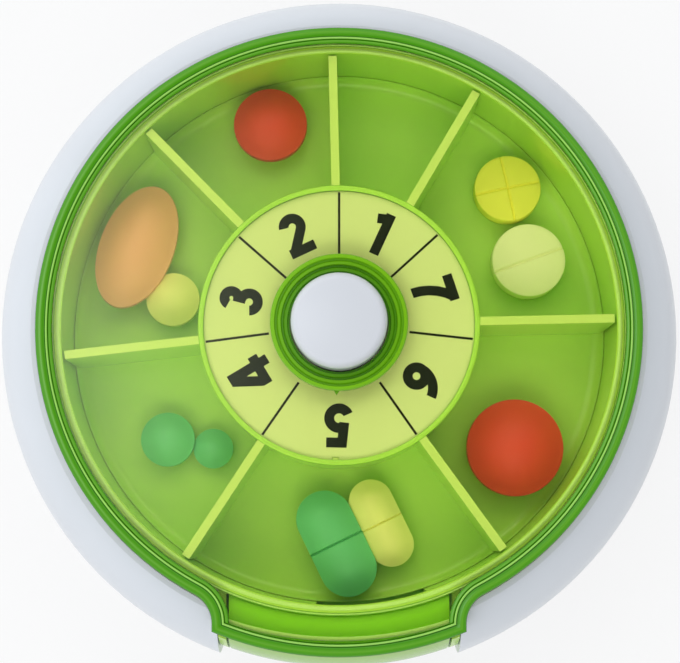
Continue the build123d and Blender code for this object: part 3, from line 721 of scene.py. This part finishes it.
# %% [markdown]
# The tray is moulded, so its floor doesn't meet the wall in a sharp corner. The cove's lower edge is sunk a
# little into the floor and its back stands a hair off the liner, so the tray can turn.

# %% Cove of the tray
hair = 0.08 * mm
cove_outer = liner_inner - hair
cove_radius = 1.6 * mm
cove_steps = 8
cove_sunk = 0.05 * mm


def cove_section():
    """A quarter-round hollow between the floor and the wall, with a flat back."""
    turns = [math.pi / 2 * i / cove_steps for i in range(cove_steps + 1)]
    hollow = [
        (
            cove_outer - hair - cove_radius * (1 - math.sin(turn)),
            tray_floor + cove_radius * (1 - math.cos(turn)),
        )
        for turn in turns
    ]
    sunk = tray_floor - cove_sunk
    return [(hollow[0][0], sunk), *hollow, (cove_outer, hollow[-1][1]), (cove_outer, sunk)]


cove = spun_section("tray_cove", cove_section(), green_tray, "carousel")
print("cove faces", len(cove.data.polygons))

# %% [markdown]
# The hub's upper edge is a rounded bead, more saturated than the dividers. It stands a little above the
# rim that it sits on, so it hides the sharp corner there.

# %% Bead on the hub
hub_radius = 20.2 * mm
# The bead is painted paler at its top, a painted glow.
hub_green = tinted(
    "hub_green", (0.22, 0.55, 0.03), (0.46, 0.83, 0.10), tray_top - 0.02 * mm, tray_top + 0.12 * mm, 0.25
)
hub_points = [
    (-0.78, -0.2), (-0.78, 0.02), (-0.66, 0.1), (-0.38, 0.15), (-0.1, 0.1), (0.0, 0.0), (0.0, -0.2),
]
hub_section = [(hub_radius + out * mm, tray_top + up * mm) for out, up in hub_points]
hub_bead = spun_section("hub_rim", hub_section, hub_green, "carousel")
print("hub bead faces", len(hub_bead.data.polygons))

# %% [markdown]
# The door's ledge closes the outlet from above. It follows the ring, but its ends are straight, so it is
# spun too wide and then cut at both ends. Each cut leaves an open loop of edges, which is filled.

# %% Ledge inside the door
ledge_top = 22.6 * mm
ledge_inner = liner_outer + 0.35 * mm
ledge_half = 15.5 * mm
ledge_start = -120
ledge_sweep = 60
ledge_points = [
    (0, -0.9), (0, -0.5), (0.3, -0.2), (1.15, -0.06), (1.4, 0), (3.2, -0.1), (5.15, 0), (5.15, -0.9),
]
cut_tolerance = 1e-7
ledge_green = plastic("ledge_green", (0.28, 0.74, 0.012), 0.25)


def cut(mesh_work, point, way, keep_both=True):
    """Cuts every face along a plane, and clears what lies beyond it if only one side is kept."""
    geometry = [*mesh_work.verts, *mesh_work.edges, *mesh_work.faces]
    made = bmesh.ops.bisect_plane(
        mesh_work, geom=geometry, dist=cut_tolerance, plane_co=point, plane_no=way, clear_outer=not keep_both
    )
    return [part for part in made["geom_cut"] if isinstance(part, bmesh.types.BMEdge)]


def make_ledge():
    section = [(ledge_inner + out * mm, ledge_top + up * mm) for out, up in ledge_points]
    mesh_work = spin_closed(section, ledge_start, ledge_sweep, ledge_sweep)
    for side in (-1, 1):
        open_edges = cut(mesh_work, (side * ledge_half, 0, 0), (side, 0, 0), keep_both=False)
        bmesh.ops.holes_fill(mesh_work, edges=open_edges, sides=0)
    bmesh.ops.recalc_face_normals(mesh_work, faces=mesh_work.faces)
    print("ledge closed", all(edge.is_manifold for edge in mesh_work.edges))
    return finish_piece("door_ledge", mesh_work, ledge_green, "door", smooth_angle=30.0)


ledge = make_ledge()
print("ledge faces", len(ledge.data.polygons))

# %% [markdown]
# The return spring sits under the button and gets shorter with each press. Its turns are one tube: a small
# circle of wire is spun nine times about the axis while it climbs. Riding on a body only moves a piece and
# never shortens it, so the coil stays on the base, with a mesh of its own, in place of the frame's spring.

# %% Return spring
wire_radius = 0.3 * mm
wire_sides = 10
spring_turns = 9
steps_per_turn = 32
spring_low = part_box("return_spring")[0][2]
spring_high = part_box("return_spring")[1][2]
spring_radius = reach_of("return_spring") - wire_radius


def make_spring():
    mesh_work = bmesh.new()
    ring = bmesh.ops.create_circle(mesh_work, segments=wire_sides, radius=wire_radius)["verts"]
    upright = Matrix.Rotation(math.pi / 2, 3, "X")
    bmesh.ops.rotate(mesh_work, cent=(0, 0, 0), matrix=upright, verts=ring)
    bmesh.ops.translate(mesh_work, vec=(spring_radius, 0, spring_low + wire_radius), verts=ring)
    climb = spring_high - spring_low - 2 * wire_radius
    steps = spring_turns * steps_per_turn
    bmesh.ops.spin(
        mesh_work,
        geom=ring + list(mesh_work.edges),
        cent=(0, 0, 0),
        axis=(0, 0, 1),
        dvec=(0, 0, climb / steps),
        angle=2 * math.pi * spring_turns,
        steps=steps,
        use_duplicate=False,
    )
    close_ends(mesh_work)
    bmesh.ops.recalc_face_normals(mesh_work, faces=mesh_work.faces)
    return finish_piece("spring_coil", mesh_work, spring_steel, "base", smooth_angle=50.0)


coil = make_spring()
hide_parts("return_spring")
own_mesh(coil)

# %% [markdown]
# The tablets are what the box is for. Each kind is pressed or moulded, so all have one build: a side
# profile that is spun about its axis, then stretched for a caplet. A score line is a real groove: loops
# are cut beside it with bisect, and the vertices in between sink.


# %% Tablet builder
crown_steps = 10
tablet_sides = 64
groove_loops = 3


def tablet_profile(radius, height, crown):
    """Points of radius and height, from the top's middle round the band to the bottom's middle."""
    band = height / 2 - crown
    turn = min(0.12 * radius, 0.5 * height)
    upper = []
    for i in range(crown_steps + 1):
        share = i / crown_steps
        reach = share * (radius - 0.4 * turn)
        upper.append((reach, band + crown * math.cos(share * math.pi / 2)))
    upper.append((radius - 0.1 * turn, band - 0.12 * turn))
    upper.append((radius, band - 0.5 * turn))
    lower = [(reach, -level) for reach, level in reversed(upper)]
    return upper + lower


def tablet(name, material, place, radius, height, crown, stretch=0.0, oval=1.0, lean=0.0, scores=()):
    """A tablet that lies on the tray's floor at place. stretch parts its halves, oval scales its length."""
    mesh_work = bmesh.new()
    profile = tablet_profile(radius, height, crown)
    verts = [mesh_work.verts.new((reach, 0, level)) for reach, level in profile]
    edges = [mesh_work.edges.new(pair) for pair in zip(verts, verts[1:])]
    bmesh.ops.spin(
        mesh_work,
        geom=verts + edges,
        cent=(0, 0, 0),
        axis=(0, 0, 1),
        angle=2 * math.pi,
        steps=tablet_sides,
        use_merge=True,
        use_duplicate=False,
    )
    bmesh.ops.remove_doubles(mesh_work, verts=mesh_work.verts, dist=0.001 * mm)
    bmesh.ops.recalc_face_normals(mesh_work, faces=mesh_work.faces)
    if stretch:
        cut(mesh_work, (0, 0, 0), (1, 0, 0))
        for side in (-1, 1):
            half = [vert for vert in mesh_work.verts if vert.co.x * side > 0.0001 * mm]
            bmesh.ops.translate(mesh_work, verts=half, vec=(side * stretch / 2, 0, 0))
    bmesh.ops.scale(mesh_work, vec=(oval, 1, 1), verts=mesh_work.verts)
    for angle in scores:
        score(mesh_work, angle, 0.055 * radius, 0.09 * height)
    turn = Matrix.Rotation(math.radians(lean), 3, "Z")
    bmesh.ops.rotate(mesh_work, cent=(0, 0, 0), matrix=turn, verts=mesh_work.verts)
    x, y = place
    bmesh.ops.translate(mesh_work, verts=mesh_work.verts, vec=(x, y, tray_floor + height / 2))
    return finish_piece(name, mesh_work, material, "carousel", smooth_angle=50.0)


def score(mesh_work, angle, half_width, depth):
    """Presses a rounded groove into the top, along the angle in degrees."""
    across = Vector((-math.sin(math.radians(angle)), math.cos(math.radians(angle)), 0))
    for i in range(-groove_loops, groove_loops + 1):
        cut(mesh_work, across * (half_width * i / groove_loops), across)
    for vert in mesh_work.verts:
        share = abs(vert.co.dot(across)) / half_width
        if share < 1 and vert.co.z > 0:
            vert.co.z -= depth * 0.5 * (1 + math.cos(share * math.pi))


# %% [markdown]
# Pressed tablets are chalky and slightly speckled, coated ones have a thin smooth skin.


# %% Tablet finishes
def tablet_finish(name, colour, roughness, skin):
    material = plastic(name, colour, roughness, variation=0.08, bump=0.25, size=2200.0)
    coat(material, skin, 0.3)
    return material


red_coat = tablet_finish("tablet_red", (0.80, 0.062, 0.034), 0.5, 0.2)
orange_coat = tablet_finish("tablet_orange", (0.95, 0.44, 0.24), 0.55, 0.2)
green_coat = tablet_finish("tablet_green", (0.15, 0.60, 0.28), 0.5, 0.2)
yellow_chalk = tablet_finish("tablet_yellow", (0.98, 0.92, 0.13), 0.75, 0.0)
cream_chalk = tablet_finish("tablet_cream", (0.96, 0.97, 0.62), 0.75, 0.0)
butter_coat = tablet_finish("tablet_butter", (0.96, 0.93, 0.34), 0.6, 0.1)
print("tablet finishes made")

# %% [markdown]
# Ten tablets, a day's or a few in a compartment, one compartment left empty. They are contents, so they
# ride with the tray and take no part in the construction.

# %% Tablets in the tray
tablet("tablet_red_small", red_coat, (-10.4 * mm, 31.7 * mm), 5.55 * mm, 6.0 * mm, 2.2 * mm)
tablet(
    "tablet_orange_oval", orange_coat, (-30.3 * mm, 12.9 * mm), 5.6 * mm, 7.0 * mm, 2.9 * mm,
    oval=1.72, lean=70.0,
)
tablet("tablet_butter_round", butter_coat, (-24.9 * mm, 5.1 * mm), 4.0 * mm, 4.4 * mm, 1.5 * mm)
tablet(
    "tablet_yellow_cross", yellow_chalk, (25.4 * mm, 21.9 * mm), 5.0 * mm, 4.0 * mm, 0.35 * mm,
    scores=(12.0, 102.0),
)
tablet(
    "tablet_cream_scored", cream_chalk, (28.4 * mm, 10.9 * mm), 5.5 * mm, 4.2 * mm, 0.35 * mm,
    scores=(20.0,),
)
tablet("tablet_red_large", red_coat, (25.9 * mm, -17.2 * mm), 7.15 * mm, 8.0 * mm, 3.1 * mm)
tablet(
    "tablet_green_oblong", green_coat, (-0.4 * mm, -31.2 * mm), 4.2 * mm, 5.6 * mm, 1.7 * mm,
    stretch=7.9 * mm, lean=-64.0, scores=(90.0,),
)
tablet(
    "tablet_butter_caplet", butter_coat, (6.2 * mm, -28.2 * mm), 3.3 * mm, 4.8 * mm, 1.5 * mm,
    stretch=6.9 * mm, lean=-64.0, scores=(90.0,),
)
tablet("tablet_green_round", green_coat, (-25.4 * mm, -15.9 * mm), 4.0 * mm, 5.0 * mm, 1.9 * mm)
tablet("tablet_green_small", green_coat, (-18.7 * mm, -17.2 * mm), 2.95 * mm, 3.8 * mm, 1.4 * mm)

# %% [markdown]
# The floor is a plain pale sheet. It should look almost white without more light on the box, so a part of
# it shines for the camera only, and the rest takes the soft shadow of the box. It lies a hair below the
# rubber foot, so that two faces never share one plane, and it is clear from below, which lets the
# underside of the box be looked at.


# %% Floor
floor_gap = 0.05 * mm
floor_size = 3.0
floor_shine = 0.8


def make_floor_material():
    material = bpy.data.materials.new("studio_floor")
    material.use_nodes = True
    tree = material.node_tree
    shader = tree.nodes["Principled BSDF"]
    shader.inputs["Base Color"].default_value = (0.9, 0.9, 0.9, 1.0)
    shader.inputs["Roughness"].default_value = 0.8
    glow = add_node(tree, "ShaderNodeEmission")
    glow.inputs["Color"].default_value = (1.0, 1.0, 1.0, 1.0)
    path = add_node(tree, "ShaderNodeLightPath")
    seen = add_node(tree, "ShaderNodeMath", operation="MAXIMUM")
    seen_through = add_node(tree, "ShaderNodeMath", operation="MAXIMUM")
    share = add_node(tree, "ShaderNodeMath", operation="MULTIPLY")
    share.inputs[1].default_value = floor_shine
    mix = add_node(tree, "ShaderNodeMixShader")
    side = add_node(tree, "ShaderNodeNewGeometry")
    clear = add_node(tree, "ShaderNodeBsdfTransparent")
    one_sided = add_node(tree, "ShaderNodeMixShader")
    link(tree, path.outputs["Is Camera Ray"], seen.inputs[0])
    link(tree, path.outputs["Is Glossy Ray"], seen.inputs[1])
    link(tree, seen.outputs[0], seen_through.inputs[0])
    link(tree, path.outputs["Is Transmission Ray"], seen_through.inputs[1])
    link(tree, seen_through.outputs[0], share.inputs[0])
    link(tree, share.outputs[0], mix.inputs["Fac"])
    link(tree, shader.outputs["BSDF"], mix.inputs[1])
    link(tree, glow.outputs["Emission"], mix.inputs[2])
    link(tree, side.outputs["Backfacing"], one_sided.inputs["Fac"])
    link(tree, mix.outputs["Shader"], one_sided.inputs[1])
    link(tree, clear.outputs["BSDF"], one_sided.inputs[2])
    link(tree, one_sided.outputs["Shader"], tree.nodes["Material Output"].inputs["Surface"])
    return material


def make_floor():
    mesh_work = bmesh.new()
    bmesh.ops.create_grid(mesh_work, x_segments=1, y_segments=1, size=floor_size)
    bmesh.ops.translate(mesh_work, vec=(0, 0, -floor_gap), verts=mesh_work.verts)
    floor = add_piece("studio_floor", mesh_work, make_floor_material())


make_floor()
print("floor laid")


# %% [markdown]
# The room is one soft dome of light, bright on the left and dim on the right, as beside a large window.
# A flat clear lid mirrors whatever is overhead, so a lamp there would lay a hard white patch on it. The
# dome is dim overhead, which keeps the colours under the lid deep, and has one soft bright patch that
# leaves a veil of light on the left of the lid. Three wide lamps model the round forms. They stand low
# enough for their gloss to miss the camera, and they are hidden from mirrors.


# %% Lights and room
def area_lamp(name, place, aim, size, power, colour=(1.0, 1.0, 1.0)):
    lamp = bpy.data.lights.new(name, "AREA")
    lamp.shape = "RECTANGLE"
    lamp.size, lamp.size_y = size
    lamp.energy = power
    lamp.color = colour
    holder = bpy.data.objects.new(name, lamp)
    bpy.context.scene.collection.objects.link(holder)
    holder.location = place
    way = Vector(aim) - Vector(place)
    holder.rotation_euler = way.to_track_quat("-Z", "Y").to_euler()
    holder.visible_glossy = False
    return holder


def ramp(tree, source, from_min, from_max, to_min, to_max):
    """A smooth step from to_min to to_max while the source goes from from_min to from_max."""
    node = add_node(tree, "ShaderNodeMapRange", interpolation_type="SMOOTHSTEP")
    node.inputs["From Min"].default_value = from_min
    node.inputs["From Max"].default_value = from_max
    node.inputs["To Min"].default_value = to_min
    node.inputs["To Max"].default_value = to_max
    link(tree, source, node.inputs["Value"])
    return node.outputs["Result"]


patch_direction = (-0.24, 0.12, 0.963)


def make_room():
    """A dome of light: brighter on the left, dim overhead, with one soft bright patch high on the left."""
    world = bpy.data.worlds.new("pale_room")
    world.use_nodes = True
    tree = world.node_tree
    sky = tree.nodes["Background"]
    sky.inputs["Color"].default_value = (0.91, 0.95, 1.0, 1.0)
    direction = add_node(tree, "ShaderNodeTexCoord").outputs["Generated"]
    split = add_node(tree, "ShaderNodeSeparateXYZ")
    link(tree, direction, split.inputs[0])
    sides = ramp(tree, split.outputs["X"], -0.7, 0.7, 0.66, 0.42)
    ceiling = ramp(tree, split.outputs["Z"], 0.82, 0.95, 1.0, 0.15)
    from_patch = add_node(tree, "ShaderNodeVectorMath", operation="DISTANCE")
    from_patch.inputs[1].default_value = patch_direction
    link(tree, direction, from_patch.inputs[0])
    patch = ramp(tree, from_patch.outputs["Value"], 0.0, 0.28, 1.7, 0.0)
    dome = add_node(tree, "ShaderNodeMath", operation="MULTIPLY")
    total = add_node(tree, "ShaderNodeMath", operation="ADD")
    link(tree, sides, dome.inputs[0])
    link(tree, ceiling, dome.inputs[1])
    link(tree, dome.outputs[0], total.inputs[0])
    link(tree, patch, total.inputs[1])
    link(tree, total.outputs[0], sky.inputs["Strength"])
    bpy.context.scene.world = world


box_middle = (0.0, 0.0, 0.015)
window_colour = (0.97, 0.99, 1.0)
area_lamp("window_left", (-0.46, 0.27, 0.45), box_middle, (0.5, 0.6), 0.94, window_colour)
area_lamp("wide_back", (0.05, 0.5, 0.65), box_middle, (0.8, 0.4), 1.6)
area_lamp("wide_front", (-0.05, -0.5, 0.65), box_middle, (0.8, 0.4), 1.85)
make_room()
print("lamps", len(bpy.data.lights))


# %% [markdown]
# The camera looks down steeply from the front, as over a table, from about a quarter of a metre.


# %% Camera
view_height = 83.0
view_distance = 0.25
lens_mm = 89.25
sensor_mm = 36.0
aim_point = Vector((0.00013, 0.0, 0.015))


def make_camera():
    tilt = math.radians(view_height)
    camera = bpy.data.objects.new("camera", bpy.data.cameras.new("camera"))
    bpy.context.scene.collection.objects.link(camera)
    camera.location = aim_point + view_distance * Vector((0, -math.cos(tilt), math.sin(tilt)))
    camera.rotation_euler = (math.radians(90 - view_height), 0, 0)
    camera.data.lens = lens_mm
    camera.data.sensor_width = sensor_mm
    camera.data.clip_start = 0.01
    camera.data.clip_end = 20.0
    bpy.context.scene.camera = camera
    return camera


make_camera()
bpy.context.scene.view_settings.view_transform = "Standard"
print("camera at", view_height, "degrees")
